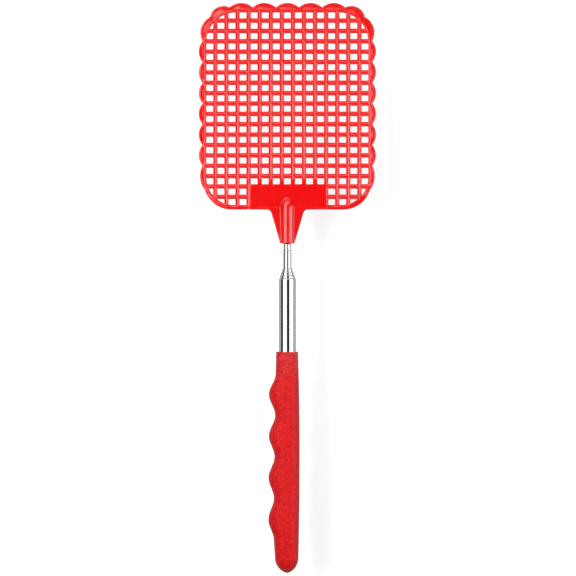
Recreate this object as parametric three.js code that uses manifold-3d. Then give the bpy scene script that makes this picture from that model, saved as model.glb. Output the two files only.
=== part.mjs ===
// A telescopic fly swatter, pushed together and lying flat: a moulded mesh head on the thinnest of
// five nested steel tubes, with the widest tube held in a rubbery grip that has four finger bumps.
// Millimetres. +Y runs along the shaft towards the head, +X across it and +Z up. The origin lies
// under the middle of the whole swatter, on the surface that it rests on.
import * as THREE from 'three';
import { mergeVertices } from 'three/addons/utils/BufferGeometryUtils.js';
import Module from 'manifold-3d';

const wasm = await Module();
wasm.setup();

// ---- Driving dimensions ----
const TOTAL_LENGTH = 280;
const AXIS_HEIGHT = 7.2; // the shaft's axis above the surface: half of the grip's thickness

const HEAD_WIDTH = 87;
const PLATE_LENGTH = 101.5; // of the flat mesh plate, without the neck and socket
const HEAD_LENGTH = 118.2; // with the neck and socket
const MESH_THICKNESS = 2;
const RIM_THICKNESS = 2.6;
const COLUMNS = 15;
const ROWS = 19;
const PITCH_X = 5.44;
const PITCH_Y = 5.09;
const HOLE_X = 3.3;
const HOLE_Y = 2.85;
const FIRST_ROW_INSET = 6.15; // from the plate's tip to the first row's centre
const SCALLOP_DEPTH = 1.8;
const PANEL_COLUMNS = 7; // the solid panel over the neck covers this many columns...
const PANEL_ROWS = 2; // ...of the last rows

const TUBE_DIAMETERS = [8.5, 7.4, 6.3, 5.2, 4.1];
const WALL = 0.3;
const LIP_STEP = 1.6; // each tube's lip stands this far out of the one around it
const OUTER_TUBE_LENGTH = 134;
const LAST_TUBE_SHOWS = 8.9; // the thinnest tube stands this far out of its neighbour's lip
const RUNNING_GAP = 0.05; // radial, between pieces that slide or turn on each other
const FACE_GAP = 0.05; // between faces that rest on each other
const NECK_LENGTH = 6; // the narrowed bottom end of each moving tube, where its shims sit
const NECK_DROP = 0.3; // how far the neck's radius is below the tube's
const TUBE_BOTTOMS = [0, 6.5, 14, 21.5, 29]; // above the outer tube's bottom end

const GRIP_LENGTH = 108.7;
const GRIP_END_SOLID = 9.5; // rubber beyond the outer tube's bottom end
const BUMPS = 4;
const BUMP_PITCH = 20.4;
const FIRST_BUMP_RISE = 3.15;
const RISE_LOST = 0.2; // by each bump, from the one before it

const SIDES = 24; // facets round every turned piece, so that nested pieces stay in step

// ---- Positions that follow from them ----
const HEAD_TIP = TOTAL_LENGTH / 2;
const GRIP_END = -TOTAL_LENGTH / 2;
const GRIP_MOUTH = GRIP_END + GRIP_LENGTH;
const PLATE_FOOT = HEAD_TIP - PLATE_LENGTH;
const SOCKET_MOUTH = HEAD_TIP - HEAD_LENGTH;
const SHAFT_FOOT = GRIP_END + GRIP_END_SOLID + 1.3; // the base plug's flange takes the 1.3
const LAST_TIP = OUTER_TUBE_LENGTH + LIP_STEP * 3 + LAST_TUBE_SHOWS;

// ---- Materials ----
function material(color, roughness, metalness) {
  return new THREE.MeshStandardMaterial({ color, roughness, metalness });
}

const headPlastic = material(0xe8101a, 0.25, 0);
const gripRubber = material(0xd0202a, 0.6, 0);
const polishedSteel = material(0xd8d8da, 0.15, 1);
const turnedSteel = material(0xb8b8bc, 0.3, 1);
const springBrass = material(0xc9a050, 0.3, 1);
const nylon = material(0x202124, 0.5, 0);

// ---- Solids ----
const WELD = 1e-4;

// A closed geometry as a solid: its shared corners are welded, the empty triangles at a lathe's
// poles are dropped, and its faces are turned outward.
function solidFrom(geometry) {
  geometry.deleteAttribute('normal');
  geometry.deleteAttribute('uv');
  const welded = mergeVertices(geometry, WELD);
  const points = welded.getAttribute('position');
  const index = welded.getIndex().array;
  const corners = [0, 1, 2].map(() => new THREE.Vector3());
  const faces = [];
  let volume = 0;
  for (let i = 0; i < index.length; i += 3) {
    const face = [index[i], index[i + 1], index[i + 2]];
    if (new Set(face).size < 3) continue;
    face.forEach((at, k) => corners[k].fromBufferAttribute(points, at));
    volume += corners[0].dot(corners[1].clone().cross(corners[2]));
    faces.push(face);
  }
  if (volume < 0) faces.forEach((face) => face.reverse());
  return new wasm.Manifold(new wasm.Mesh({
    numProp: 3,
    vertProperties: Float32Array.from(points.array),
    triVerts: Uint32Array.from(faces.flat()),
  }));
}

function meshFrom(name, solid, look) {
  const cut = solid.getMesh();
  const geometry = new THREE.BufferGeometry();
  geometry.setAttribute('position', new THREE.BufferAttribute(cut.vertProperties, 3));
  geometry.setIndex(new THREE.BufferAttribute(cut.triVerts, 1));
  geometry.computeVertexNormals();
  const mesh = new THREE.Mesh(geometry, look);
  mesh.name = name;
  return mesh;
}

// A turned solid about the Y axis from [radius, y] points. The profile is closed by itself, unless
// it starts and ends on the axis.
function turned(profile, sides = SIDES) {
  const points = profile.map(([radius, y]) => new THREE.Vector2(radius, y));
  const onAxis = profile[0][0] === 0 && profile[profile.length - 1][0] === 0;
  if (!onAxis) points.push(points[0].clone());
  return solidFrom(new THREE.LatheGeometry(points, sides));
}

// A flat solid of the given thickness, with its middle plane at z = 0, from one shape or several.
function slab(shapes, thickness) {
  const geometry = new THREE.ExtrudeGeometry(shapes, { depth: thickness, bevelEnabled: false });
  return solidFrom(geometry.translate(0, 0, -thickness / 2));
}

function block(width, length, height, x, y, z) {
  return solidFrom(new THREE.BoxGeometry(width, length, height).translate(x, y, z));
}

// ---- Head ----
const HEAD_SIDE = HEAD_WIDTH / 2;
const FIRST_ROW = HEAD_TIP - FIRST_ROW_INSET;
const rowCentre = (row) => FIRST_ROW - row * PITCH_Y;
const columnCentre = (column) => (column - (COLUMNS - 1) / 2) * PITCH_X;

const SIDE_SCALLOPS = 7; // each two rows long, with the first valley on the bar after the third row
const TOP_SCALLOPS = 5;
const TOP_SCALLOP_WIDTH = 11.36;
const TOP_SCALLOP_DEPTH = 2.2;
const CORNER_VALLEY = [38, 133.1]; // between the two scallops that turn each top corner
const CORNER_DEPTH = 2.65;
const FOOT_CORNER = { x: 27.6, y: 52, radius: 13.5, start: -0.3 };
const TOP_FIELD_RADIUS = 14.4; // of the mesh field's corners
const FOOT_FIELD_RADIUS = 13.5;
const ARC_STEPS = 6;

// Points of an outward-bulging arc from one valley to the next, the last valley left out.
function scallop(from, to, depth) {
  const chord = new THREE.Vector2().subVectors(to, from);
  const half = chord.length() / 2;
  const radius = (half * half + depth * depth) / (2 * depth);
  const across = new THREE.Vector2(-chord.y, chord.x).normalize();
  const centre = from.clone().addScaledVector(chord, 0.5).addScaledVector(across, depth - radius);
  const reach = Math.asin(half / radius);
  const middle = across.angle();
  return Array.from({ length: ARC_STEPS }, (_, i) => {
    const angle = middle + reach * (1 - (2 * i) / ARC_STEPS);
    return new THREE.Vector2(Math.cos(angle), Math.sin(angle)).multiplyScalar(radius).add(centre);
  });
}

// The right half of the plate's outline, from the top middle clockwise down to the foot.
function halfOutline() {
  const valleyTop = HEAD_TIP - TOP_SCALLOP_DEPTH;
  const valleySide = HEAD_SIDE - SCALLOP_DEPTH;
  const valleys = [];
  for (let i = 0; i <= (TOP_SCALLOPS - 1) / 2; i += 1) {
    valleys.push([new THREE.Vector2((i + 0.5) * TOP_SCALLOP_WIDTH, valleyTop), TOP_SCALLOP_DEPTH]);
  }
  valleys[valleys.length - 1][1] = CORNER_DEPTH;
  valleys.push([new THREE.Vector2(...CORNER_VALLEY), CORNER_DEPTH]);
  for (let i = 0; i < SIDE_SCALLOPS; i += 1) {
    valleys.push([new THREE.Vector2(valleySide, rowCentre(2.5 + 2 * i)), SCALLOP_DEPTH]);
  }
  const foot = FOOT_CORNER;
  const arc = new THREE.EllipseCurve(
    foot.x, foot.y, foot.radius, foot.radius, foot.start, -Math.PI / 2, true);
  const arcPoints = arc.getPoints(2 * ARC_STEPS);
  valleys.push([arcPoints[0], 0]);
  const topMiddle = scallop(new THREE.Vector2(-TOP_SCALLOP_WIDTH / 2, valleyTop),
    valleys[0][0], TOP_SCALLOP_DEPTH).slice(ARC_STEPS / 2 + 1);
  const edge = valleys.slice(1).flatMap(([to], i) => scallop(valleys[i][0], to, valleys[i][1]));
  return [...topMiddle, ...edge, ...arcPoints];
}

function plateOutline() {
  const right = halfOutline();
  const left = right.map((point) => new THREE.Vector2(-point.x, point.y)).reverse();
  return [...right, ...left, new THREE.Vector2(0, HEAD_TIP)];
}

// The round-cornered field that the mesh fills, grown outward by margin. Its corners cut across
// the holes beside them and leave no hole in the corner itself.
function meshField(margin) {
  const side = columnCentre(COLUMNS - 1) + HOLE_X / 2 + margin;
  const top = rowCentre(0) + HOLE_Y / 2 + margin;
  const foot = rowCentre(ROWS - 1) - HOLE_Y / 2 - margin;
  const upper = TOP_FIELD_RADIUS + margin;
  const lower = FOOT_FIELD_RADIUS + margin;
  const quarter = Math.PI / 2;
  const field = new THREE.Path();
  field.absarc(side - lower, foot + lower, lower, -quarter, 0, false);
  field.absarc(side - upper, top - upper, upper, 0, quarter, false);
  field.absarc(upper - side, top - upper, upper, quarter, 2 * quarter, false);
  field.absarc(lower - side, foot + lower, lower, 2 * quarter, 3 * quarter, false);
  return field.getPoints(ARC_STEPS);
}

function meshHoles() {
  const holes = [];
  for (let row = 0; row < ROWS; row += 1) {
    for (let column = 0; column < COLUMNS; column += 1) {
      const fromSide = Math.min(column, COLUMNS - 1 - column);
      const inPanel = row >= ROWS - PANEL_ROWS && fromSide >= (COLUMNS - PANEL_COLUMNS) / 2;
      const [x, y] = [columnCentre(column), rowCentre(row)];
      const corners = [[-1, -1], [1, -1], [1, 1], [-1, 1]].map(([right, up]) => (
        new THREE.Vector2(x + (right * HOLE_X) / 2, y + (up * HOLE_Y) / 2)));
      if (!inPanel) holes.push(new THREE.Shape(corners));
    }
  }
  return slab(holes, RIM_THICKNESS + 1)
    .intersect(slab(new THREE.Shape(meshField(0)), RIM_THICKNESS + 1));
}

// The plate with its thicker border round the mesh.
function meshPlate() {
  const border = new THREE.Shape(plateOutline());
  border.holes.push(new THREE.Path(meshField(0.2)));
  return slab(new THREE.Shape(plateOutline()), MESH_THICKNESS)
    .add(slab(border, RIM_THICKNESS))
    .subtract(meshHoles());
}

const PANEL_TOP = rowCentre(ROWS - PANEL_ROWS - 1) - HOLE_Y / 2;
const NECK_TOP_WIDTH = 16.8;
const NECK_FOOT_WIDTH = 7.4;
const BARREL_RADIUS = 3.55;
const BARREL_TOP = PLATE_FOOT + 0.8;
const BARREL_TIP = PLATE_FOOT + 6.9;
const SOCKET_RADIUS = 1.3;
const SOCKET_DEPTH = 14;
const DRILL_POINT = 0.8; // the cone at the socket's end
const MOUTH_CHAMFER = 0.4;
const WEB_FILLET = 2.2; // how far the web's inside corner is eased, along both of its sides

function panelAndNeck() {
  const panelSide = (PANEL_COLUMNS * PITCH_X) / 2;
  const foot = PLATE_FOOT + 0.2; // just inside the plate, so that the two overlap cleanly
  const neckSide = NECK_TOP_WIDTH / 2;
  const half = [
    [panelSide, PANEL_TOP],
    [panelSide, foot],
    [neckSide + WEB_FILLET, foot],
    [neckSide + WEB_FILLET / 4, PLATE_FOOT - WEB_FILLET / 4],
    [neckSide - WEB_FILLET / 8, PLATE_FOOT - WEB_FILLET],
    [NECK_FOOT_WIDTH / 2, SOCKET_MOUTH + MOUTH_CHAMFER],
  ];
  const left = half.map(([x, y]) => [-x, y]).reverse();
  const points = [...half, ...left].map(([x, y]) => new THREE.Vector2(x, y));
  return slab(new THREE.Shape(points), RIM_THICKNESS);
}

// The socket barrel, with a pointed end that dies into the panel.
function socketBarrel() {
  const profile = [
    [0, SOCKET_MOUTH],
    [BARREL_RADIUS - MOUTH_CHAMFER, SOCKET_MOUTH],
    [BARREL_RADIUS, SOCKET_MOUTH + MOUTH_CHAMFER],
  ];
  for (let i = 0; i < ARC_STEPS; i += 1) {
    const t = i / ARC_STEPS;
    profile.push([
      BARREL_RADIUS * Math.cos((t * Math.PI) / 2), BARREL_TOP + t * (BARREL_TIP - BARREL_TOP)]);
  }
  profile.push([0, BARREL_TIP]);
  return turned(profile);
}

function head() {
  const bore = turned([
    [0, SOCKET_MOUTH - 1],
    [SOCKET_RADIUS, SOCKET_MOUTH - 1],
    [SOCKET_RADIUS, SOCKET_MOUTH + SOCKET_DEPTH],
    [0, SOCKET_MOUTH + SOCKET_DEPTH + DRILL_POINT],
  ]);
  const solid = meshPlate().add(panelAndNeck()).add(socketBarrel()).subtract(bore);
  return meshFrom('swat_head', solid, headPlastic);
}

// ---- Shaft: pieces are placed along Y from the outer tube's bottom end ----
const tubeRadius = (stage) => TUBE_DIAMETERS[stage] / 2;
const boreRadius = (stage) => tubeRadius(stage) - WALL;
const neckRadius = (stage) => tubeRadius(stage) - NECK_DROP;
const neckBore = (stage) => neckRadius(stage) - WALL;
const LAST_STAGE = TUBE_DIAMETERS.length - 1;
const tubeTip = (stage) => (stage === LAST_STAGE ? LAST_TIP : OUTER_TUBE_LENGTH + LIP_STEP * stage);
const LIP_ROUND = 0.35;
const LIP_DEPTH = 1;
const LIP_SLOPE = 0.25; // from the lip out to the tube's bore
const EDGE_BREAK = 0.1;
const STAGE_NAMES = ['outer', 'second', 'third', 'fourth', 'fifth'];

// The tip's rounded edge, and below it the lip rolled in to guide and stop the next tube.
function tipProfile(stage) {
  const radius = tubeRadius(stage);
  const tip = tubeTip(stage);
  if (stage === LAST_STAGE) {
    return [[radius, tip - EDGE_BREAK], [radius - EDGE_BREAK, tip], [boreRadius(stage), tip]];
  }
  const lip = tubeRadius(stage + 1) + RUNNING_GAP;
  return [
    [radius, tip - LIP_ROUND],
    [radius - EDGE_BREAK, tip - EDGE_BREAK],
    [radius - LIP_ROUND, tip],
    [lip, tip - EDGE_BREAK],
    [lip, tip - LIP_DEPTH],
    [boreRadius(stage), tip - LIP_DEPTH - LIP_SLOPE],
  ];
}

function tube(stage) {
  const bottom = TUBE_BOTTOMS[stage];
  const shoulder = bottom + NECK_LENGTH;
  const slope = 0.4; // length of the cone from the neck out to the full tube
  const straight = [[boreRadius(stage), bottom], [tubeRadius(stage), bottom]];
  const necked = [
    [boreRadius(stage), shoulder + slope],
    [neckBore(stage), shoulder],
    [neckBore(stage), bottom],
    [neckRadius(stage), bottom],
    [neckRadius(stage), shoulder],
    [tubeRadius(stage), shoulder + slope],
  ];
  const profile = [...(stage === 0 ? straight : necked), ...tipProfile(stage)];
  return meshFrom(`${STAGE_NAMES[stage]}_tube`, turned(profile), polishedSteel);
}

// The flanged bush pressed into a moving tube's bottom end, which keeps the shims on.
function endBush(stage) {
  const bottom = TUBE_BOTTOMS[stage];
  const flange = boreRadius(stage - 1) - RUNNING_GAP;
  const flangeThickness = 1;
  const pressedGap = 0.03;
  const sleeve = neckBore(stage) - pressedGap;
  const sleeveLength = 4;
  const bore = sleeve * 0.6;
  const profile = [
    [bore, bottom - flangeThickness],
    [flange, bottom - flangeThickness],
    [flange, bottom - FACE_GAP],
    [sleeve, bottom - FACE_GAP],
    [sleeve, bottom + sleeveLength],
    [bore, bottom + sleeveLength],
  ];
  return meshFrom(`${STAGE_NAMES[stage]}_tube_bush`, turned(profile), springBrass);
}

// Two bowed half-round springs round a moving tube's neck. Their bellies rub on the tube outside.
function shims(stage) {
  const thickness = 0.2;
  const inner = neckRadius(stage) + RUNNING_GAP;
  const belly = boreRadius(stage - 1) - RUNNING_GAP - thickness - inner;
  const endPlay = 0.3;
  const low = TUBE_BOTTOMS[stage] + endPlay;
  const high = TUBE_BOTTOMS[stage] + NECK_LENGTH - endPlay;
  const middle = (low + high) / 2;
  const profile = [
    [inner, low],
    [inner + thickness, low],
    [inner + thickness + belly, middle],
    [inner + thickness, high],
    [inner, high],
    [inner + belly, middle],
  ];
  const reach = 2 * tubeRadius(0); // beyond the springs on every side
  const slot = 0.6; // half of the gap between the two springs
  return [['left', -1], ['right', 1]].map(([side, sign]) => {
    const half = block(reach, reach, reach, sign * (slot + reach / 2), middle, 0);
    const name = `${STAGE_NAMES[stage]}_tube_shim_${side}`;
    return meshFrom(name, turned(profile).intersect(half), springBrass);
  });
}

// The plug in the outer tube's bottom end, which stops the inner tubes from falling through.
function basePlug() {
  const flange = tubeRadius(0) - RUNNING_GAP;
  const body = boreRadius(0) - RUNNING_GAP;
  const vent = 0.8;
  const flangeFoot = -1;
  const length = 5;
  const chamfer = 0.4;
  const profile = [[vent, flangeFoot], [flange, flangeFoot], [flange, -FACE_GAP],
    [body, -FACE_GAP], [body, length - chamfer], [body - chamfer, length], [vent, length]];
  return meshFrom('base_plug', turned(profile), nylon);
}

// The turned pin that joins the thinnest tube to the head: a shank in the tube, a collar and cone
// that show, and a thin barbed pin in the head's socket.
function spigot() {
  const shank = boreRadius(LAST_STAGE) - RUNNING_GAP;
  const shankLength = 8;
  const chamfer = 0.4;
  const collar = tubeRadius(LAST_STAGE) - 0.12; // a little thinner than the tube it sits on
  const collarLength = 1.4;
  const coneLength = 0.8;
  const pin = 1.05;
  const barb = 1.24;
  const barbs = 3;
  const barbPitch = 3.6;
  const barbLength = barbPitch / 2;
  const plainLength = 3; // of the pin between the cone and its first barb
  const shankFoot = LAST_TIP - shankLength;
  const collarFoot = LAST_TIP + FACE_GAP;
  const coneFoot = LAST_TIP + collarLength;
  const firstBarb = coneFoot + coneLength + plainLength;
  const profile = [[0, shankFoot], [shank - chamfer, shankFoot], [shank, shankFoot + chamfer],
    [shank, collarFoot], [collar, collarFoot], [collar, coneFoot], [pin, coneFoot + coneLength]];
  for (let i = 0; i < barbs; i += 1) {
    const foot = firstBarb + i * barbPitch;
    profile.push([pin, foot], [barb, foot], [pin, foot + barbLength]);
  }
  const tip = firstBarb + barbs * barbPitch;
  profile.push([pin - chamfer, tip], [0, tip]);
  return meshFrom('head_spigot', turned(profile), turnedSteel);
}

// ---- Grip ----
const GRIP_SIDES = 28;
const STRAIGHT_RINGS = 24;
const END_RINGS = [0.35, 0.6, 0.8, 0.93]; // as parts of the end's rounding
const GRIP_END_ROUND = 7.5;
const END_FULLNESS = 0.65; // 0.5 would be a half ellipse, and more is more pointed
const SECTION_POWER = 2.5; // of the superellipse that the section follows: 2 is an ellipse

// The grip's reach from the shaft's axis as [distance from the mouth, reach] points.
const BUMP_SIDE = [[0, 5.65], [10, 5.88], [30, 6.1], [51, 6.42], [71, 6.72], [92, 6.75], [101, 6.2]];
const STRAIGHT_SIDE = [[0, 5.3], [10, 5.62], [22, 5.87], [48, 6.08], [72, 5.98], [101, 5.5]];
const THICKNESS_SIDE = [[0, 5.75], [10, 6.1], [28, 6.85], [46, 7.08], [64, AXIS_HEIGHT], [82, 7.08],
  [101, 6.5]];

function reachCurve(points) {
  const curve = new THREE.SplineCurve(points.map(([along, reach]) => new THREE.Vector2(along, reach)));
  const samples = curve.getPoints(80);
  return (along) => {
    const next = samples.findIndex((sample) => sample.x >= along);
    if (next < 1) return samples[next === 0 ? 0 : samples.length - 1].y;
    const [low, high] = [samples[next - 1], samples[next]];
    return THREE.MathUtils.mapLinear(along, low.x, high.x, low.y, high.y);
  };
}

const bumpSide = reachCurve(BUMP_SIDE);
const straightSide = reachCurve(STRAIGHT_SIDE);
const thicknessSide = reachCurve(THICKNESS_SIDE);
const FIRST_BUMP = 21; // from the mouth to the first bump's crest

function fingerBumps(along) {
  const turns = (along - FIRST_BUMP) / BUMP_PITCH;
  if (turns < -0.5 || turns > BUMPS - 0.5) return 0;
  const rise = FIRST_BUMP_RISE - RISE_LOST * turns;
  return (rise * (1 + Math.cos(2 * Math.PI * turns))) / 2;
}

// How much of the full section is left near the closed end.
function endRound(along) {
  const into = Math.max(0, (along - (GRIP_LENGTH - GRIP_END_ROUND)) / GRIP_END_ROUND);
  return (1 - Math.min(into, 1) ** 2) ** END_FULLNESS;
}

function grip() {
  const straightLength = GRIP_LENGTH - GRIP_END_ROUND;
  const rings = Array.from({ length: STRAIGHT_RINGS + 1 },
    (_, i) => (i / STRAIGHT_RINGS) * straightLength);
  for (const part of END_RINGS) rings.push(straightLength + part * GRIP_END_ROUND);
  const profile = [new THREE.Vector2(0, 0), ...rings.map((along) => new THREE.Vector2(1, -along)),
    new THREE.Vector2(0, -GRIP_LENGTH)];
  const geometry = new THREE.LatheGeometry(profile, GRIP_SIDES);
  const points = geometry.getAttribute('position');
  const squared = (value) => Math.sign(value) * Math.abs(value) ** (2 / SECTION_POWER);
  for (let i = 0; i < points.count; i += 1) {
    const along = -points.getY(i);
    const [x, z] = [points.getX(i), points.getZ(i)];
    const reach = x < 0 ? bumpSide(along) + fingerBumps(along) : straightSide(along);
    const left = endRound(along);
    points.setX(i, squared(x) * reach * left);
    points.setZ(i, squared(z) * thicknessSide(along) * left);
  }
  const holeRadius = tubeRadius(0) + RUNNING_GAP;
  const holeDepth = GRIP_LENGTH - GRIP_END_SOLID;
  const hole = turned([[0, 1], [holeRadius, 1], [holeRadius, -holeDepth], [0, -holeDepth]]);
  const mesh = meshFrom('grip', solidFrom(geometry).subtract(hole), gripRubber);
  mesh.position.y = GRIP_MOUTH;
  return mesh;
}

// ---- Assembly ----
const swatter = new THREE.Group();
swatter.position.z = AXIS_HEIGHT;

const shaft = new THREE.Group();
shaft.position.y = SHAFT_FOOT;
shaft.add(basePlug(), tube(0));
for (let stage = 1; stage <= LAST_STAGE; stage += 1) {
  shaft.add(...shims(stage), endBush(stage), tube(stage));
}
shaft.add(spigot());

swatter.add(grip(), shaft, head());

export default swatter;
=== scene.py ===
"""The looks of a telescopic fly swatter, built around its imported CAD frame.

Shapes are worked out in millimetres and become metres where a mesh is made. The shaft runs along
+Y, towards the head, and the head lies flat in the plane of the shaft's axis."""

import math

import bpy
import numpy as np
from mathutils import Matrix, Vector, noise
from mathutils.geometry import delaunay_2d_cdt

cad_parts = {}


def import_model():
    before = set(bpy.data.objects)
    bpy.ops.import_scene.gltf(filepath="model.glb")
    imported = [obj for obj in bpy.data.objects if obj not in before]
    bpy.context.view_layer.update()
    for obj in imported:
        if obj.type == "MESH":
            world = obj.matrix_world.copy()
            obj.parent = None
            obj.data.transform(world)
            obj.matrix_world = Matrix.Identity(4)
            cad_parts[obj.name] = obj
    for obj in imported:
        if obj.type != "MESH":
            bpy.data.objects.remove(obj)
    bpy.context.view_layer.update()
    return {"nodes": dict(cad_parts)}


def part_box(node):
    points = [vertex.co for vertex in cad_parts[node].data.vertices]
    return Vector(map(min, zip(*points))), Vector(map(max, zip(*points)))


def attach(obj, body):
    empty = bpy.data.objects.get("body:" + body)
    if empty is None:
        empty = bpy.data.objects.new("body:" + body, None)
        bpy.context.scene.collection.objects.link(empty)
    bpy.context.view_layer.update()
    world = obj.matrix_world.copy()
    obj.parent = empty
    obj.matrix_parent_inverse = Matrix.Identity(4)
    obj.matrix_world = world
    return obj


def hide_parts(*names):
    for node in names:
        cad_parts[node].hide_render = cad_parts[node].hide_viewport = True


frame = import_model()

MM = 0.001


def box_mm(node):
    """A CAD node's lowest and highest corner, in millimetres."""
    low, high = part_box(node)
    return np.array(low) / MM, np.array(high) / MM


# ---- Sizes that come from the frame ----
HEAD_LOW, HEAD_HIGH = box_mm("swat_head")
GRIP_LOW, GRIP_HIGH = box_mm("grip")
AXIS_HEIGHT = (HEAD_LOW[2] + HEAD_HIGH[2]) / 2
HEAD_TIP = HEAD_HIGH[1]
HEAD_SIDE = HEAD_HIGH[0]
SOCKET_MOUTH = HEAD_LOW[1]
GRIP_MOUTH = GRIP_HIGH[1]
GRIP_LENGTH = GRIP_HIGH[1] - GRIP_LOW[1]

# ---- Meshes ----
SHARP_ANGLE = math.radians(38)


def mesh_object(name, points, faces, sharp_angle=SHARP_ANGLE):
    """A smooth-shaded object from points in millimetres."""
    mesh = bpy.data.meshes.new(name)
    mesh.from_pydata([tuple(point) for point in np.asarray(points) * MM], [], faces)
    mesh.validate()
    mesh.shade_smooth()
    mesh.set_sharp_from_angle(angle=sharp_angle)
    made = bpy.data.objects.new(name, mesh)
    bpy.context.scene.collection.objects.link(made)
    return made


def cut(target, tool):
    """Cuts tool, which is used up, out of target."""
    step = target.modifiers.new("cut", "BOOLEAN")
    step.object = tool
    step.operation = "DIFFERENCE"
    step.solver = "MANIFOLD"
    scene_graph = bpy.context.evaluated_depsgraph_get()
    result = bpy.data.meshes.new_from_object(target.evaluated_get(scene_graph))
    target.modifiers.clear()
    target.data = result
    bpy.data.objects.remove(tool)
    result.shade_smooth()
    result.set_sharp_from_angle(angle=SHARP_ANGLE)


def arc_points(centre, radius, start, end, steps):
    """Points from the start angle to the end angle, in radians, both included."""
    angles = np.linspace(start, end, steps + 1)
    return np.stack([centre[0] + radius * np.cos(angles), centre[1] + radius * np.sin(angles)], 1)


def ring_faces(count, sides, poles, flipped=False):
    """Faces that join rings of points in turn. With poles, two points that follow the rings close
    the first and the last, and without them the last joins the first. Flipped turns them over."""
    faces = []
    for i in range(count - 1 if poles else count):
        here, there = i * sides, (i + 1) % count * sides
        for k in range(sides):
            after = (k + 1) % sides
            faces.append((here + k, here + after, there + after, there + k))
    if poles:
        foot, tip, last = count * sides, count * sides + 1, (count - 1) * sides
        for k in range(sides):
            after = (k + 1) % sides
            faces.append((foot, after, k))
            faces.append((tip, last + k, last + after))
    return [(face[0], *face[:0:-1]) for face in faces] if flipped else faces


def turned(name, profile, sides=72):
    """A piece turned about the shaft's axis from [radius, y] points. A profile that starts and ends
    on the axis is closed by its two poles, and any other closes on itself."""
    profile = np.array(profile, float)
    on_axis = profile[0][0] == 0 and profile[-1][0] == 0
    rings = profile[1:-1] if on_axis else profile
    angles = np.linspace(0, 2 * math.pi, sides, endpoint=False)
    points = [(r * math.sin(a), y, AXIS_HEIGHT + r * math.cos(a)) for r, y in rings for a in angles]
    if on_axis:
        points += [(0, profile[0][1], AXIS_HEIGHT), (0, profile[-1][1], AXIS_HEIGHT)]
    return mesh_object(name, points, ring_faces(len(rings), sides, on_axis))


# ---- Head: a height field over its plan, mirrored below the shaft's axis ----
COLUMNS, ROWS = 15, 19
PITCH_X, PITCH_Y = 5.44, 5.09
HOLE_X, HOLE_Y = 3.3, 2.85
FIRST_ROW = HEAD_TIP - 6.15
PLATE_FOOT = HEAD_TIP - 101.5
PANEL_COLUMNS, PANEL_ROWS = 7, 2
BAR_LINES_X = (np.arange(COLUMNS - 1) - (COLUMNS - 2) / 2) * PITCH_X
BAR_LINES_Y = FIRST_ROW - (np.arange(ROWS - 1) + 0.5) * PITCH_Y
FIELD_SIDE = (COLUMNS - 1) / 2 * PITCH_X + HOLE_X / 2
FIELD_TOP = FIRST_ROW + HOLE_Y / 2
FIELD_FOOT = FIRST_ROW - (ROWS - 1) * PITCH_Y - HOLE_Y / 2
TOP_FIELD_RADIUS, FOOT_FIELD_RADIUS = 14.4, 13.5
PANEL_SIDE = PANEL_COLUMNS * PITCH_X / 2
PANEL_TOP = FIELD_FOOT + PANEL_ROWS * PITCH_Y + (PITCH_Y - HOLE_Y)

SCALLOP_DEPTH = 1.8
TOP_SCALLOP_WIDTH, TOP_SCALLOP_DEPTH = 11.36, 2.2
CORNER_VALLEY = (38.0, HEAD_TIP - 6.9)
CORNER_DEPTH = 2.65
SCALLOP_STEPS = 14
FOOT_CORNER_X, FOOT_CORNER_RADIUS, FOOT_CORNER_START = 27.6, 13.5, -0.3
NECK_SIDE, SOCKET_SIDE, NECK_FILLET = 8.4, 3.72, 2.0  # half widths at the neck's top and foot

# Heights above the middle plane. A ridge's power is how round its crest is.
COLUMN_RIDGE, COLUMN_POWER = 1.22, 1.5
ROW_RIDGE, ROW_POWER = 1.16, 1.7
PANEL_HEIGHT = 1.2
RIM_BEAD, RIM_BEAD_AT, RIM_BEAD_HALF, RIM_BEAD_POWER = 1.28, 0.85, 0.9, 2.2
SCALLOP_BEAD, SCALLOP_BEAD_AT, SCALLOP_BEAD_HALF, SCALLOP_BEAD_POWER = 1.15, 0.7, 0.72, 2.6
RIM_RECESS, RIM_WEB_SLOPE = 0.42, 0.25  # the web between the beads rises towards the mesh
EDGE = 0.3  # half the thickness of the plate's walls at its holes and outer edge
BARS_REACH, WEB_START = 1, 0.5  # how far past the field the bars run, and where the web begins
BAR_FILLET, BEAD_FILLET, WEB_FILLET, BARREL_FILLET = 0.05, 0.1, 0.15, 0.3
OUTER_ROUND, HOLE_ROUND = 0.45, 0.3  # how far in the outer edge and the panel's holes are rounded
NOWHERE, EVERYWHERE = -9, 9  # heights that never win and never limit


def scallop(start, end, depth):
    """Points of a bulging arc, left of the way from end to start, without its end."""
    start, end = np.array(start), np.array(end)
    chord = end - start
    half = np.linalg.norm(chord) / 2
    radius = (half ** 2 + depth ** 2) / (2 * depth)
    across = np.array([-chord[1], chord[0]]) / (2 * half)
    centre = (start + end) / 2 + across * (depth - radius)
    reach = math.asin(half / radius)
    middle = math.atan2(across[1], across[0])
    return arc_points(centre, radius, middle + reach, middle - reach, SCALLOP_STEPS)[:-1]


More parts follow.
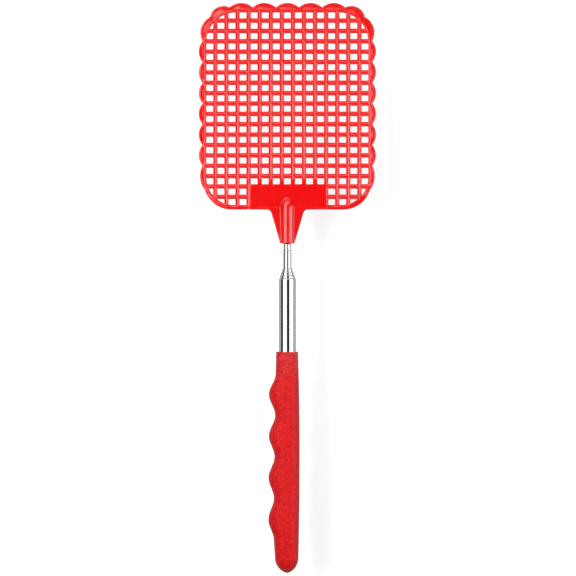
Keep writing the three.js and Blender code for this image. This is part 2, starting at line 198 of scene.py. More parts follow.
def scallops(end):
    """The scallops from the top middle down to an end point on the right. Each valley between two
    of them has its place, and how far the next one bulges."""
    top_valley = HEAD_TIP - TOP_SCALLOP_DEPTH
    side_valley = HEAD_SIDE - SCALLOP_DEPTH
    valleys = [((0.5 + i) * TOP_SCALLOP_WIDTH, top_valley, TOP_SCALLOP_DEPTH) for i in range(3)]
    valleys[-1] = (*valleys[-1][:2], CORNER_DEPTH)
    valleys.append((*CORNER_VALLEY, CORNER_DEPTH))
    valleys += [(side_valley, y, SCALLOP_DEPTH) for y in BAR_LINES_Y[2:15:2]]
    valleys.append((*end, 0))
    middle = scallop((-valleys[0][0], top_valley), valleys[0][:2], TOP_SCALLOP_DEPTH)
    runs = [scallop(a[:2], b[:2], a[2]) for a, b in zip(valleys, valleys[1:])]
    return np.concatenate([middle[SCALLOP_STEPS // 2:], *runs])


def neck_side():
    """The neck's right side, from the fillet at the plate's foot down to the socket's mouth."""
    top = np.array([NECK_SIDE, PLATE_FOOT])
    foot = np.array([SOCKET_SIDE, SOCKET_MOUTH + 0.5])
    down = (foot - top) / np.linalg.norm(foot - top)
    first, last = top + (NECK_FILLET, 0), top + down * NECK_FILLET
    t = np.linspace(0, 1, 8)[:, None]
    fillet = (1 - t) ** 2 * first + 2 * t * (1 - t) * top + t ** 2 * last
    return np.concatenate([fillet, np.linspace(last, foot, 14)[1:]])


def half_outline():
    """The right half of the head's outline, from the top middle down to the socket's mouth, and
    how many of its points belong to the scallops and to the mouth."""
    foot_arc = arc_points((FOOT_CORNER_X, PLATE_FOOT + FOOT_CORNER_RADIUS), FOOT_CORNER_RADIUS,
                          FOOT_CORNER_START, -math.pi / 2, 18)
    scalloped = scallops(foot_arc[0])
    neck = neck_side()
    bottom = np.linspace(foot_arc[-1], neck[0], 16)[1:-1]
    mouth = [(x, SOCKET_MOUTH) for x in (3.3, 2.9, 2.4, 1.8, 1.2, 0.6, 0)]
    outline = np.concatenate([scalloped, foot_arc, bottom, neck, mouth])
    return outline, len(scalloped), len(mouth)


HALF_OUTLINE, SCALLOPED, MOUTH_POINTS = half_outline()
MIRROR = np.array([-1, 1])
# Anticlockwise as seen from above: up the right side, over the top and down the left.
OUTLINE = np.concatenate([HALF_OUTLINE[::-1], HALF_OUTLINE[1:-1] * MIRROR])
SIDE_EDGE = OUTLINE[MOUTH_POINTS - 1:len(OUTLINE) - MOUTH_POINTS + 2]  # all but the mouth
SCALLOP_EDGE = np.concatenate([HALF_OUTLINE[:SCALLOPED + 1][::-1],
                               HALF_OUTLINE[1:SCALLOPED + 1] * MIRROR])


def distance_to_line(points, line, closed):
    """Each point's distance to a line of straight pieces."""
    starts = line if closed else line[:-1]
    ends = np.roll(line, -1, 0) if closed else line[1:]
    along = ends - starts
    squared = (along ** 2).sum(1)
    result = []
    for part in np.array_split(points, max(1, len(points) // 2000)):
        offset = part[:, None] - starts[None]
        t = np.clip((offset * along[None]).sum(2) / squared, 0, 1)
        gap = offset - t[..., None] * along[None]
        result.append(np.sqrt((gap ** 2).sum(2).min(1)))
    return np.concatenate(result)


def field_distance(points):
    """How far points lie outside the round-cornered field that the mesh fills."""
    middle, half = (FIELD_TOP + FIELD_FOOT) / 2, (FIELD_TOP - FIELD_FOOT) / 2
    radius = np.where(points[:, 1] > middle, TOP_FIELD_RADIUS, FOOT_FIELD_RADIUS)
    qx = np.abs(points[:, 0]) - FIELD_SIDE + radius
    qy = np.abs(points[:, 1] - middle) - half + radius
    outside = np.hypot(np.maximum(qx, 0), np.maximum(qy, 0))
    return outside + np.minimum(np.maximum(qx, qy), 0) - radius


def in_panel(column, row):
    """Whether the panel closes this hole."""
    from_side = min(column, COLUMNS - 1 - column)
    return row >= ROWS - PANEL_ROWS and from_side >= (COLUMNS - PANEL_COLUMNS) / 2


def hole_distance(points):
    """How far points lie outside the nearest mesh hole, holes that the panel closes left out."""
    column = np.clip(np.round(points[:, 0] / PITCH_X + (COLUMNS - 1) / 2), 0, COLUMNS - 1)
    row = np.clip(np.round((FIRST_ROW - points[:, 1]) / PITCH_Y), 0, ROWS - 1)
    closed = (row >= ROWS - PANEL_ROWS) & (
        np.abs(column - (COLUMNS - 1) / 2) <= (PANEL_COLUMNS - 1) / 2)
    row = np.where(closed, ROWS - PANEL_ROWS - 1, row)
    dx = np.abs(points[:, 0] - (column - (COLUMNS - 1) / 2) * PITCH_X) - HOLE_X / 2
    dy = np.abs(points[:, 1] - (FIRST_ROW - row * PITCH_Y)) - HOLE_Y / 2
    outside = np.hypot(np.maximum(dx, 0), np.maximum(dy, 0))
    return np.maximum(outside + np.minimum(np.maximum(dx, dy), 0), field_distance(points))


def ridge(distance, half_width, height, power):
    """A ridge that falls from height to EDGE over half_width, and away beyond it. Its crest is
    rounder the higher the power, and its sides straighter the lower."""
    t = distance / half_width
    crown = 1 - np.minimum(t, 1) ** power
    return np.where(t < 1, EDGE + (height - EDGE) * crown, EDGE - 3 * (distance - half_width))


def smooth_max(a, b, radius):
    """The greater of two heights, with a fillet of about radius where they meet."""
    return np.maximum(a, b) + np.maximum(radius - np.abs(a - b), 0) ** 2 / (4 * radius)


def rounded_edge(distance, radius):
    """The height that an edge's rounding allows this far in from it."""
    inward = 1 - np.clip(distance / radius, 0, 1)
    full = RIM_BEAD + 0.1
    return np.where(distance < radius, EDGE + (full - EDGE) * np.sqrt(1 - inward ** 2), EVERYWHERE)


BARREL_RADIUS = (HEAD_HIGH[2] - HEAD_LOW[2]) / 2
BARREL_TOP, BARREL_TIP = PLATE_FOOT + 0.8, PLATE_FOOT + 7.2
MOUTH_ROUND = 0.45


def barrel_height(x, y):
    """The socket's barrel, with a rounded mouth and a pointed end that dies into the panel."""
    taper = np.clip((y - BARREL_TOP) / (BARREL_TIP - BARREL_TOP), 0, 1)
    from_mouth = np.clip((y - SOCKET_MOUTH) / MOUTH_ROUND, 0, 1)
    radius = BARREL_RADIUS * np.cos(taper * math.pi / 2)
    radius -= MOUTH_ROUND * (1 - np.sqrt(1 - (1 - from_mouth) ** 2))
    beyond = np.abs(x) - radius
    return np.where(beyond < 0, np.sqrt(np.maximum(radius ** 2 - x ** 2, 0)), -3 * beyond)


def bars_height(x, y, from_field):
    """The ridges of the mesh's crossing bars, which end a little past the field."""
    to_column = np.abs(x[:, None] - BAR_LINES_X[None]).min(1)
    to_row = np.abs(y[:, None] - BAR_LINES_Y[None]).min(1)
    columns = ridge(to_column, (PITCH_X - HOLE_X) / 2, COLUMN_RIDGE, COLUMN_POWER)
    rows = ridge(to_row, (PITCH_Y - HOLE_Y) / 2, ROW_RIDGE, ROW_POWER)
    past = from_field > BARS_REACH
    return smooth_max(np.where(past, NOWHERE, columns), np.where(past, NOWHERE, rows), BAR_FILLET)


def rimmed_height(bars, from_field, from_scallop):
    """The bars' height joined by the bead round the field, the scallops' bead and the web."""
    border = ridge(np.abs(from_field - RIM_BEAD_AT), RIM_BEAD_HALF, RIM_BEAD, RIM_BEAD_POWER)
    lip = ridge(np.abs(from_scallop - SCALLOP_BEAD_AT), SCALLOP_BEAD_HALF, SCALLOP_BEAD,
                SCALLOP_BEAD_POWER)
    height = smooth_max(smooth_max(bars, border, BEAD_FILLET), lip, BEAD_FILLET)
    inner_foot = 2 * SCALLOP_BEAD_AT
    web = RIM_RECESS + RIM_WEB_SLOPE * np.clip(from_scallop - inner_foot, 0, 2)
    return np.where(from_field > WEB_START, smooth_max(height, web, WEB_FILLET), height)


def plate_height(points):
    """The head's height above its middle plane."""
    x, y = points[:, 0], points[:, 1]
    from_field = field_distance(points)
    from_edge = distance_to_line(points, SIDE_EDGE, False)
    from_scallop = distance_to_line(points, SCALLOP_EDGE, False)
    height = rimmed_height(bars_height(x, y, from_field), from_field, from_scallop)
    on_panel = (np.abs(x) < PANEL_SIDE) & (y < PANEL_TOP)
    on_neck = (y < PLATE_FOOT + 2) & (np.abs(x) < PANEL_SIDE)
    height = np.maximum(height, np.where(on_panel | on_neck, PANEL_HEIGHT, NOWHERE))
    height = np.minimum(height, rounded_edge(from_edge, OUTER_ROUND))
    near_hole = rounded_edge(np.maximum(hole_distance(points), 0), HOLE_ROUND)
    height = np.minimum(height, np.where(on_panel, near_hole, EVERYWHERE))
    with_barrel = smooth_max(height, barrel_height(x, y), BARREL_FILLET)
    return np.where(y < BARREL_TIP, with_barrel, height)


HOLE_CORNER, COLLAR = 0.32, 0.17  # a hole's corner radius, and how far out its collar of points is


def hole_loop(column, row, grow):
    """A mesh hole's round-cornered outline, anticlockwise, grown by a little."""
    radius, steps = HOLE_CORNER, 3
    cx = (column - (COLUMNS - 1) / 2) * PITCH_X
    cy = FIRST_ROW - row * PITCH_Y
    loop = []
    for k, (sx, sy) in enumerate([(1, -1), (1, 1), (-1, 1), (-1, -1)]):
        corner = (cx + sx * (HOLE_X / 2 - radius), cy + sy * (HOLE_Y / 2 - radius))
        start = (k - 1) * math.pi / 2
        loop.append(arc_points(corner, radius + grow, start, start + math.pi / 2, steps))
    loop = np.concatenate(loop)
    after = np.roll(loop, -1, 0)
    filled = []
    for a, b in zip(loop, after):
        pieces = 3 if np.linalg.norm(b - a) > 1 else 1
        filled += [a + (b - a) * i / pieces for i in range(pieces)]
    return np.array(filled)


SLACK = 1e-4  # so that a hole whose side lies on the field's edge counts as inside


def clip_to_field(loop, grow):
    """The part of a loop inside the field, with the field's round corner as its new side."""
    inside = field_distance(loop) <= grow + SLACK
    if inside.all():
        return loop
    if inside.sum() < 2:
        return np.empty((0, 2))
    first = next(i for i in range(len(loop)) if inside[i] and not inside[i - 1])
    loop, inside = np.roll(loop, -first, 0), np.roll(inside, -first)
    kept = loop[inside]
    into = crossing(loop[-1], loop[0], grow)
    out = crossing(kept[-1], loop[inside.sum()], grow)
    sx, sy = np.sign(out[0]), 1 if out[1] > (FIELD_TOP + FIELD_FOOT) / 2 else -1
    radius = TOP_FIELD_RADIUS if sy > 0 else FOOT_FIELD_RADIUS
    centre = np.array([sx * (FIELD_SIDE - radius),
                       FIELD_TOP - radius if sy > 0 else FIELD_FOOT + radius])
    start, end = (math.atan2(*(p - centre)[::-1]) for p in (out, into))
    steps = max(2, int(abs(end - start) * radius / 0.5))
    return np.concatenate([kept, arc_points(centre, radius + grow, start, end, steps)])


def crossing(a, b, grow):
    """Where the way from a to b crosses the field's edge."""
    low, high = 0.0, 1.0
    inside_a = field_distance(a[None])[0] <= grow + SLACK
    for _ in range(30):
        middle = (low + high) / 2
        same = (field_distance((a + (b - a) * middle)[None])[0] <= grow + SLACK) == inside_a
        low, high = (middle, high) if same else (low, middle)
    return a + (b - a) * low


def offset_curve(line, distance, spacing):
    """Evenly spaced points at a distance to the left of a closed line."""
    along = np.roll(line, -1, 0) - line
    length = np.linalg.norm(along, axis=1)
    reach = np.concatenate([[0], np.cumsum(length)])
    places = np.arange(0, reach[-1], spacing)
    closed = np.concatenate([line, line[:1]])
    x, y = (np.interp(places, reach, closed[:, i]) for i in (0, 1))
    piece = np.clip(np.searchsorted(reach, places, side="right") - 1, 0, len(line) - 1)
    left = np.stack([-along[piece, 1], along[piece, 0]], 1) / length[piece, None]
    return np.stack([x, y], 1) + left * distance


def field_curve(margin, spacing):
    """Evenly spaced points round the mesh field, a margin outside it."""
    runs = []
    quarter = math.pi / 2
    for k, radius in enumerate([FOOT_FIELD_RADIUS, TOP_FIELD_RADIUS,
                                TOP_FIELD_RADIUS, FOOT_FIELD_RADIUS]):
        sx, sy = (1, 1, -1, -1)[k], (-1, 1, 1, -1)[k]
        centre = (sx * (FIELD_SIDE - radius),
                  FIELD_TOP - radius if sy > 0 else FIELD_FOOT + radius)
        runs.append(arc_points(centre, radius + margin, (k - 1) * quarter, k * quarter, 40))
    return offset_curve(np.concatenate(runs), 0, spacing)


def thinned(kept, candidates, gap):
    """The candidates that lie further than gap from the kept points and from each other."""
    cells = {}

    def key(point):
        return int(point[0] // gap), int(point[1] // gap)

    for point in kept:
        cells.setdefault(key(point), []).append(point)
    chosen = []
    for point in candidates:
        i, j = key(point)
        near = (q for a in (-1, 0, 1) for b in (-1, 0, 1) for q in cells.get((i + a, j + b), ()))
        if all((point[0] - q[0]) ** 2 + (point[1] - q[1]) ** 2 > gap ** 2 for q in near):
            cells.setdefault((i, j), []).append(point)
            chosen.append(point)
    return np.array(chosen).reshape(-1, 2)


def inside_outline(points):
    """Which points lie inside the head's outline, by counting crossings."""
    x, y = points[:, 0], points[:, 1]
    inside = np.zeros(len(points), bool)
    for (ax, ay), (bx, by) in zip(OUTLINE, np.roll(OUTLINE, -1, 0)):
        spans = (ay > y) != (by > y)
        if spans.any():
            inside ^= spans & (x < ax + (bx - ax) * (y - ay) / (by - ay + 1e-30))
    return inside


# Where the plan has lines of points: across a bar, beside a hole's middle, in from the outline, out
# from the mesh field and out from the barrel's middle.
BAR_LINES = np.array([-0.78, -0.5, -0.24, 0, 0.24, 0.5, 0.78])
HOLE_LINES = np.array([-0.6, 0.6])
EDGE_INSETS = (0.1, 0.22, 0.4, 0.62, 0.9, 1.2, 1.6)
FIELD_MARGINS = (0.15, 0.32, 0.55, 0.85, 1.15, 1.4, 1.62, 1.85)
BARREL_LINES = np.array([0, 0.45, 0.9, 1.35, 1.75, 2.1, 2.4, 2.65, 2.87, 3.05, 3.2, 3.35, 3.5, 3.75])
# How far apart the points on those lines are, and those that fill the panel and the neck.
EDGE_SPACING, FIELD_SPACING, BARREL_SPACING, TIP_SPACING, PANEL_SPACING = 0.8, 0.85, 0.7, 0.3, 1.3
CLEAR_OF_HOLES, CLEAR_OF_OUTLINE = 0.1, 0.08
# The smallest gap between points of one kind and those placed before them.
BAR_GAP, BARREL_GAP, EDGE_GAP, PANEL_GAP, COLLAR_GAP = 0.12, 0.1, 0.2, 0.6, 0.1


def grid(xs, ys):
    """Every point that pairs one of xs with one of ys."""
    return np.stack(np.meshgrid(xs, ys), -1).reshape(-1, 2)


def spread_about(places, offsets):
    """Each place with each of the offsets added."""
    return (places[:, None] + offsets[None]).ravel()


def bar_points():
    """Points on the bars, close together where two cross and sparser between the crossings."""
    bar_x, bar_y = spread_about(BAR_LINES_X, BAR_LINES), spread_about(BAR_LINES_Y, BAR_LINES)
    hole_x = (np.arange(COLUMNS) - (COLUMNS - 1) / 2) * PITCH_X
    hole_y = FIRST_ROW - np.arange(ROWS) * PITCH_Y
    span_x, span_y = spread_about(hole_x, HOLE_LINES), spread_about(hole_y, HOLE_LINES)
    points = np.concatenate([grid(bar_x, bar_y), grid(bar_x, span_y), grid(span_x, bar_y)])
    on_panel = (np.abs(points[:, 0]) < PANEL_SIDE - 0.2) & (points[:, 1] < PANEL_TOP - 0.4)
    near_field = field_distance(points) < 0.3
    return points[near_field & (hole_distance(points) > CLEAR_OF_HOLES) & ~on_panel]


def edge_points():
    """Points along the outline and round the mesh field, where the beads and the web bend."""
    edges = []
    for inset in EDGE_INSETS:
        curve = offset_curve(OUTLINE, inset, EDGE_SPACING)
        edges.append(curve[distance_to_line(curve, OUTLINE, True) > inset - 0.02])
    rim = [field_curve(margin, FIELD_SPACING) for margin in FIELD_MARGINS]
    points = np.concatenate([*rim, *edges])
    keep = (field_distance(points) > 0.1) | (points[:, 1] < PANEL_TOP)
    return points[keep & (hole_distance(points) > CLEAR_OF_HOLES)]


def barrel_points():
    """Points on lines along the socket's barrel, closer together at its mouth and its tip."""
    xs = np.concatenate([-BARREL_LINES[:0:-1], BARREL_LINES])
    mouth = SOCKET_MOUTH + np.array([0.1, 0.22, 0.36])
    straight = np.arange(SOCKET_MOUTH + 0.55, BARREL_TOP, BARREL_SPACING)
    tip = np.arange(BARREL_TOP, BARREL_TIP + 0.4, TIP_SPACING)
    return grid(xs, np.concatenate([mouth, straight, tip]))


def panel_points():
    """Points spread evenly over the panel and the neck."""
    xs = np.arange(-PANEL_SIDE - 4, PANEL_SIDE + 4, PANEL_SPACING)
    ys = np.arange(SOCKET_MOUTH + 0.8, PANEL_TOP, PANEL_SPACING)
    points = grid(xs, ys)
    return points[hole_distance(points) > PANEL_GAP]


def plan_points(hole_loops):
    """The points between the outline and the holes, close together where the surface bends."""
    kept = np.concatenate([OUTLINE, *hole_loops])
    on_borders = len(kept)
    for candidates, gap in ((bar_points(), BAR_GAP), (barrel_points(), BARREL_GAP),
                            (edge_points(), EDGE_GAP), (panel_points(), PANEL_GAP)):
        candidates = candidates[inside_outline(candidates)]
        clear = distance_to_line(candidates, OUTLINE, True) > CLEAR_OF_OUTLINE
        kept = np.concatenate([kept, thinned(kept, candidates[clear], gap)])
    return kept[on_borders:]


def hole_loops_and_collars():
    """The open holes' outlines, and the points of a collar round each of them."""
    loops, collars = [], []
    for row in range(ROWS):
        for column in range(COLUMNS):
            loop = clip_to_field(hole_loop(column, row, 0), 0)
            if len(loop) > 2 and not in_panel(column, row):
                loops.append(loop)
                collars.append(clip_to_field(hole_loop(column, row, COLLAR), COLLAR))
    return loops, np.concatenate(collars)


def triangulated(borders, between):
    """The plan between closed borders, the outline first and then the holes: its points, its
    triangles, which face up, and the numbers of the points along each border."""
    points = np.concatenate([*borders, between])
    starts = np.cumsum([0, *map(len, borders)])
    edges = [(a + i, a + (i + 1) % (b - a)) for a, b in zip(starts, starts[1:]) for i in range(b - a)]
    flat, _, faces, origins, _, _ = delaunay_2d_cdt(
        [Vector(point) for point in points], edges, [], 0, 1e-7)
    flat = np.array(flat)
    new_index = {old: new for new, olds in enumerate(origins) for old in olds}
    rings = [[new_index[i] for i in range(a, b)] for a, b in zip(starts, starts[1:])]
    border_of = np.full(len(flat), -1)
    for k, ring in enumerate(rings):
        border_of[ring] = k
    faces = np.array([face for face in faces if len(face) == 3])
    corners = flat[faces]
    area = np.cross(corners[:, 1] - corners[:, 0], corners[:, 2] - corners[:, 0])
    faces[area < 0] = faces[area < 0][:, ::-1]
    owner = border_of[faces]
    in_hole = (owner[:, 0] > 0) & (owner == owner[:, :1]).all(1)
    return flat, faces[~in_hole & inside_outline(corners.mean(1))], rings


def plate():
    """The mesh plate, panel and neck as one closed piece: a top face, its mirror image below, and
    walls between the two along the outline and round each hole."""
    loops, collars = hole_loops_and_collars()
    between = plan_points(loops)
    between = np.concatenate([between, thinned(between, collars, COLLAR_GAP)])
    flat, faces, rings = triangulated([OUTLINE, *loops], between)
    height = plate_height(flat)
    top = np.column_stack([flat, AXIS_HEIGHT + height])
    bottom = np.column_stack([flat, AXIS_HEIGHT - height])
    count = len(flat)
    walls = []
    for k, ring in enumerate(rings):
        for i, j in zip(ring, ring[1:] + ring[:1]):
            first, last = (i, j) if k == 0 else (j, i)
            walls.append((first + count, last + count, last, first))
    all_faces = [*map(tuple, faces.tolist()), *map(tuple, (faces[:, ::-1] + count).tolist()), *walls]
    return mesh_object("swat_head_moulding", np.concatenate([top, bottom]), all_faces)


def head():
    """The head's moulding, with a blind bore in its socket for the spigot's pin."""
    made = plate()
    bore, depth, lead = 1.3, 14.0, 0.25
    hole = turned("bore", [(0, SOCKET_MOUTH - 1), (bore + lead, SOCKET_MOUTH - 1),
                           (bore + lead, SOCKET_MOUTH), (bore, SOCKET_MOUTH + lead),
                           (bore, SOCKET_MOUTH + depth), (0, SOCKET_MOUTH + depth + 0.8)])
    cut(made, hole)
    return made


# ---- Shaft ----
WALL, GAP = 0.3, 0.05
END_BEVEL = 0.1  # round the outer tube's bottom end
NECK_LENGTH, NECK_DROP = 6.0, 0.3
LIP_BEVEL = 0.42  # the slant round the tip of a tube that another slides through
LIP_DEPTH, LIP_RAMP = 1.0, 0.25  # how far down the lip guides the next tube, and its slope below
TUBES = ["outer_tube", "second_tube", "third_tube", "fourth_tube", "fifth_tube"]


def tube(stage):
    """One steel tube, with a slanted tip whose lip guides the next tube, and a narrowed bottom end
    on the four that slide. The last one has a plain rounded tip."""
    low, high = box_mm(TUBES[stage])
    radius = (high[0] - low[0]) / 2
    bore, bottom, tip = radius - WALL, low[1], high[1]
    shoulder, slope = bottom + NECK_LENGTH, 0.4
    if stage == 0:
        profile = [(bore, bottom + END_BEVEL), (bore + END_BEVEL, bottom),
                   (radius - END_BEVEL, bottom), (radius, bottom + END_BEVEL)]
    else:
        neck = radius - NECK_DROP
        profile = [(bore, shoulder + slope), (bore - NECK_DROP, shoulder), (neck - WALL, bottom),
                   (neck - 0.05, bottom), (neck, bottom + 0.05), (neck, shoulder),
                   (neck + 0.05, shoulder + 0.08), (radius - 0.05, shoulder + slope - 0.08),
                   (radius, shoulder + slope)]
    if stage == len(TUBES) - 1:
        profile += [(radius, tip - 0.25), (radius - 0.04, tip - 0.1), (radius - 0.13, tip),
                    (bore + 0.05, tip), (bore, tip - 0.06)]
        return turned(f"{TUBES[stage]}_drawn", profile)
    next_low, next_high = box_mm(TUBES[stage + 1])
    lip = (next_high[0] - next_low[0]) / 2 + GAP
    profile += [(radius, tip - LIP_BEVEL - 0.1), (radius - 0.02, tip - LIP_BEVEL),
                (radius - LIP_BEVEL, tip - 0.03), (radius - LIP_BEVEL - 0.03, tip),
                (lip, tip - 0.02), (lip, tip - LIP_DEPTH), (bore, tip - (LIP_DEPTH + LIP_RAMP))]
    return turned(f"{TUBES[stage]}_drawn", profile)


def spigot():
    """The turned pin between the thinnest tube and the head: its shank in the tube, a collar on
    the tube's tip, and a barbed pin in the head's socket."""
    low, high = box_mm("head_spigot")
    tube_tip = box_mm(TUBES[-1])[1][1]
    collar, shank, pin, barb = (high[0] - low[0]) / 2, 1.7, 1.05, 1.24
    shelf, neck = tube_tip + GAP, 1.42
    profile = [(0, low[1]), (shank - 0.2, low[1]), (shank, low[1] + 0.4), (shank, shelf),
               (collar - 0.05, shelf), (collar, shelf + 0.05), (collar, SOCKET_MOUTH - 0.4),
               (neck + 0.1, SOCKET_MOUTH - 0.08), (neck, SOCKET_MOUTH - 0.04),
               (pin, SOCKET_MOUTH - 0.04)]
    barbs, first_barb, barb_pitch, barb_length = 3, tube_tip + 5.2, 3.6, 1.8
    for i in range(barbs):
        foot = first_barb + i * barb_pitch
        profile += [(pin, foot), (barb, foot + 0.02), (pin, foot + barb_length)]
    profile += [(pin - 0.4, high[1]), (0, high[1])]
    return turned("head_spigot_turned", profile)


# ---- Grip ----
SECTION_POWER = 2.5  # of the superellipse that the section follows: 2 is an ellipse
END_ROUND, END_POWER = 7.5, 0.65  # the round end's length, and its power: 0.5 is an ellipse
BUMPS, BUMP_PITCH, FIRST_BUMP = 4, 20.4, 21.0
FIRST_BUMP_RISE, RISE_LOST = 3.15, 0.2  # each bump rises less than the one before it
BUMP_SIDE = [(0, 5.65), (10, 5.88), (30, 6.1), (51, 6.42), (71, 6.72), (92, 6.75), (101, 6.2)]
STRAIGHT_SIDE = [(0, 5.3), (10, 5.62), (22, 5.87), (48, 6.08), (72, 5.98), (101, 5.5)]
THICKNESS_SIDE = [(0, 5.75), (10, 6.1), (28, 6.85), (46, 7.08), (64, AXIS_HEIGHT), (82, 7.08),
                  (101, 6.5)]
PEBBLE_SIZE, SWELL_SIZE, WRINKLE_SIZE = 1.15, 3.0, 1.7
PEBBLE_DEPTH, SWELL_DEPTH, WRINKLE_DEPTH = 0.06, 0.05, 0.42
PEBBLE_SLOPE, WRINKLE_SLOPE = 2.2, 3.4  # how steeply a pebble rises and a wrinkle closes
SKIN_INSET = 0.02  # keeps the grain's high spots inside the plain section
WRINKLED_LENGTH = 17.0
SMOOTH_LENGTH = 1.2  # beside the mouth, where the grain fades out
GRIP_SIDES, GRIP_ROWS, END_ROWS, BORE_ROWS = 176, 380, 40, 24
CORNER_CROWDING = 0.22  # how much closer together points are at the section's four corners
# Rings across the mouth: each one's share of the way from the bore to the side, and how far back
# it lies from the mouth's plane.
MOUTH_RINGS = [(0.0, 0.05), (0.06, 0), (0.5, 0), (0.93, 0), (0.985, 0.06)]


def smooth_curve(points, at):
    """A curve through points with even slopes, read at one place. Its ends run on level."""
    x, y = np.array(points, float).T
    slope = np.gradient(y, x)
    at = np.clip(at, x[0], x[-1])
    i = np.clip(np.searchsorted(x, at, side="right") - 1, 0, len(x) - 2)
    width = x[i + 1] - x[i]
    t = (at - x[i]) / width
    return ((2 * t ** 3 - 3 * t ** 2 + 1) * y[i] + (t ** 3 - 2 * t ** 2 + t) * width * slope[i]
            + (3 * t ** 2 - 2 * t ** 3) * y[i + 1] + (t ** 3 - t ** 2) * width * slope[i + 1])


def grip_ring(along, angles):
    """x and z of the grip's section this far from its mouth."""
    turns = (along - FIRST_BUMP) / BUMP_PITCH
    bump = 0
    if -0.5 < turns < BUMPS - 0.5:
        bump = (FIRST_BUMP_RISE - RISE_LOST * turns) * (1 + math.cos(2 * math.pi * turns)) / 2
    into = np.clip((along - (GRIP_LENGTH - END_ROUND)) / END_ROUND, 0, 1)
    left = (1 - into ** 2) ** END_POWER
    sine, cosine = np.sin(angles), np.cos(angles)
    reach = np.where(sine < 0, smooth_curve(BUMP_SIDE, along) + bump,
                     smooth_curve(STRAIGHT_SIDE, along))
    x = np.sign(sine) * np.abs(sine) ** (2 / SECTION_POWER) * reach * left
    z = np.sign(cosine) * np.abs(cosine) ** (2 / SECTION_POWER) * left
    return x, z * smooth_curve(THICKNESS_SIDE, along)


def leather(point, along):
    """How far the grip's skin is pressed in here: pebbled all over, wrinkled near the mouth."""
    cells = noise.voronoi(point / PEBBLE_SIZE)[0]
    pebble = min(1.0, (cells[1] - cells[0]) * PEBBLE_SLOPE)
    broad = noise.fractal(point / SWELL_SIZE, 1.0, 2.0, 3)
    slanted = Vector((point.x + point.y * 0.6, point.y * 1.3 - point.x * 0.4, point.z))
    wrinkle = abs(noise.noise(slanted / WRINKLE_SIZE))
    near_mouth = max(0.0, 1 - along / WRINKLED_LENGTH) ** 0.7
    creased = near_mouth * (1 - min(1, wrinkle * WRINKLE_SLOPE))
    return PEBBLE_DEPTH * (1 - pebble) + SWELL_DEPTH * (0.5 - broad) + WRINKLE_DEPTH * creased


def grip_stations():
    """How far from its mouth the grip's outer sections are taken."""
    straight = GRIP_LENGTH - END_ROUND
    end = [straight + END_ROUND * math.sin(a) for a in np.linspace(0, math.pi / 2, END_ROWS)[1:-1]]
    return [0.25, 0.5, *np.linspace(0.8, straight, GRIP_ROWS), *end]


def grained(skin, alongs):
    """The outer skin's rings of points, each point pressed in by the grain there."""
    around = np.roll(skin, -1, 1) - np.roll(skin, 1, 1)
    inward = np.cross(around, np.gradient(skin, axis=0))
    inward /= np.linalg.norm(inward, axis=2, keepdims=True)
    fades = np.clip(np.array(alongs) / SMOOTH_LENGTH, 0, 1)
    depths = [[SKIN_INSET + leather(Vector(point), along) * fade for point in ring]
              for ring, along, fade in zip(skin, alongs, fades)]
    return skin + inward * np.array(depths)[..., None]


def ring_at(y, section):
    """A ring of points at one place along the shaft, from its section's x and z."""
    x, z = section
    return np.stack([x, np.full(len(x), y), z], 1)


def grip():
    """The grip as one closed skin: its blind bore, its mouth and its grained outside."""
    even = np.linspace(0, 2 * math.pi, GRIP_SIDES, endpoint=False)
    angles = even - CORNER_CROWDING * np.sin(4 * even) / 4
    circle = np.stack([np.sin(even), np.cos(even)])
    bore = box_mm("outer_tube")[1][0] + GAP
    bore_end = box_mm("base_plug")[0][1] - 0.3
    bore_edge, mouth = circle * (bore + 0.1), np.stack(grip_ring(0, angles))
    inner = [ring_at(y, circle * bore) for y in np.linspace(bore_end, GRIP_MOUTH - 0.3, BORE_ROWS)]
    inner += [ring_at(GRIP_MOUTH - back, bore_edge * (1 - t) + mouth * t) for t, back in MOUTH_RINGS]
    alongs = grip_stations()
    outer = [ring_at(GRIP_MOUTH - along, grip_ring(along, angles)) for along in alongs]
    skin = np.concatenate([inner, grained(np.array(outer), alongs)])
    skin[..., 2] += AXIS_HEIGHT
    poles = [(0, bore_end, AXIS_HEIGHT), (0, GRIP_MOUTH - GRIP_LENGTH, AXIS_HEIGHT)]
    points = np.concatenate([skin.reshape(-1, 3), poles])
    faces = ring_faces(len(skin), GRIP_SIDES, True, flipped=True)
    return mesh_object("grip_sleeve", points, faces, math.radians(50))


